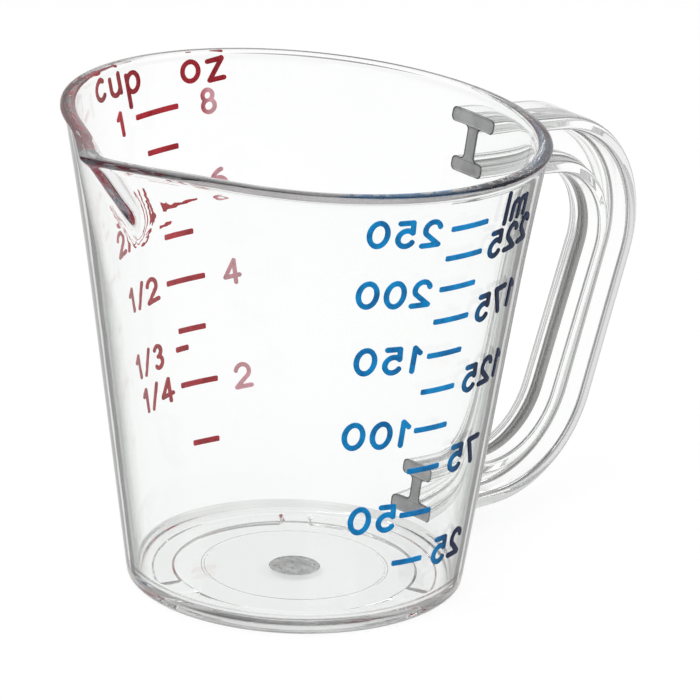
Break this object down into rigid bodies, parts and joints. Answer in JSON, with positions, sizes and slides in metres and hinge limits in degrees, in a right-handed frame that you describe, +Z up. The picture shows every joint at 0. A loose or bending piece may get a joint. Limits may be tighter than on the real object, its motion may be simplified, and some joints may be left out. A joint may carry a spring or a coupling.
{
  "type": "resin mixing cup",
  "caption": "Clear tapered mixing and measuring cup with a slanted rim, a pointed pouring spout, a loop handle of I-shaped section and raised blue and red volume scales.",
  "frame": {"origin": "on the axis of the cup's round wall, on the surface that the foot ring stands on", "axes": "+X from the axis towards the handle, -X towards the spout, +Z up, +Y towards the red scale"},
  "size_m": [0.1276, 0.085, 0.0895],
  "materials": {
    "clear_plastic": "clear, colourless, polished polycarbonate-like moulding",
    "blue_ink": "blue ink on raised strokes",
    "red_ink": "red ink on raised strokes"
  },
  "bodies": {
    "root": {"cup_body": "clear_plastic", "handle": "clear_plastic", "ml_mark_025": "blue_ink", "ml_mark_050": "blue_ink", "ml_mark_075": "blue_ink", "ml_mark_100": "blue_ink", "ml_mark_125": "blue_ink", "ml_mark_150": "blue_ink", "ml_mark_175": "blue_ink", "ml_mark_200": "blue_ink", "ml_mark_225": "blue_ink", "ml_mark_250": "blue_ink", "unit_ml": "blue_ink", "oz_mark_1": "red_ink", "oz_mark_2": "red_ink", "oz_mark_3": "red_ink", "oz_mark_4": "red_ink", "oz_mark_5": "red_ink", "oz_mark_6": "red_ink", "oz_mark_7": "red_ink", "oz_mark_8": "red_ink", "cup_mark_third": "red_ink", "cup_mark_two_thirds": "red_ink", "unit_cup": "red_ink", "unit_oz": "red_ink"}
  },
  "joints": []
}
